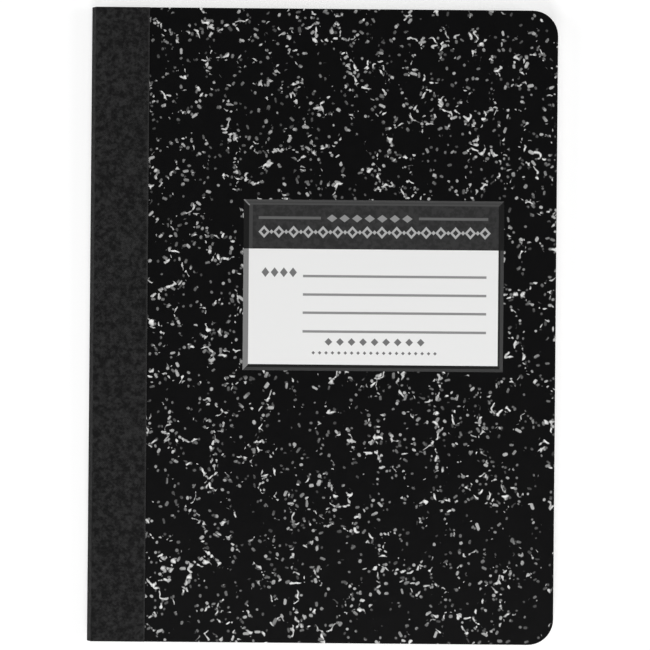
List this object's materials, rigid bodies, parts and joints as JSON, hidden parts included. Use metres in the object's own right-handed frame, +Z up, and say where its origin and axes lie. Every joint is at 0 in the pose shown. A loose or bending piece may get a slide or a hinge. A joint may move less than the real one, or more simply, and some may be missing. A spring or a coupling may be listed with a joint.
{
  "type": "composition notebook",
  "caption": "Sewn notebook with stiff marbled covers, a cloth-taped spine, rounded fore-edge corners and a name label; both covers open on the cloth.",
  "frame": {"origin": "middle of the closed notebook's outline, at the level of the surface that it lies on", "axes": "+X from the spine to the fore-edge, +Y from the tail to the head, +Z up from the back cover to the front cover"},
  "size_m": [0.1822, 0.2476, 0.0097],
  "materials": {
    "pages": "matt uncoated writing paper",
    "thread": "twisted white sewing thread",
    "spine_cloth": "black book cloth with a fine mottled weave",
    "marbled_board": "coated board printed with a black and white speckled marble pattern",
    "label": "coated paper with a dark printed header band and rim"
  },
  "bodies": {
    "leaves": {"page_block": "pages", "needle_thread": "thread", "bobbin_thread": "thread", "spine_tape": "spine_cloth"},
    "front_board": {"front_cover": "marbled_board", "name_label": "label"},
    "back_board": {"back_cover": "marbled_board"}
  },
  "joints": [
    {"name": "front_cover_hinge", "type": "hinge", "parent": "leaves", "child": "front_board", "pos_m": [-0.09045, 0, 0.00815], "axis": [0, -1, 0], "range_deg": [0, 180], "deforming": ["spine_tape"]},
    {"name": "back_cover_hinge", "type": "hinge", "parent": "leaves", "child": "back_board", "pos_m": [-0.09045, 0, 0.00155], "axis": [0, 1, 0], "range_deg": [0, 180], "deforming": ["spine_tape"]}
  ]
}
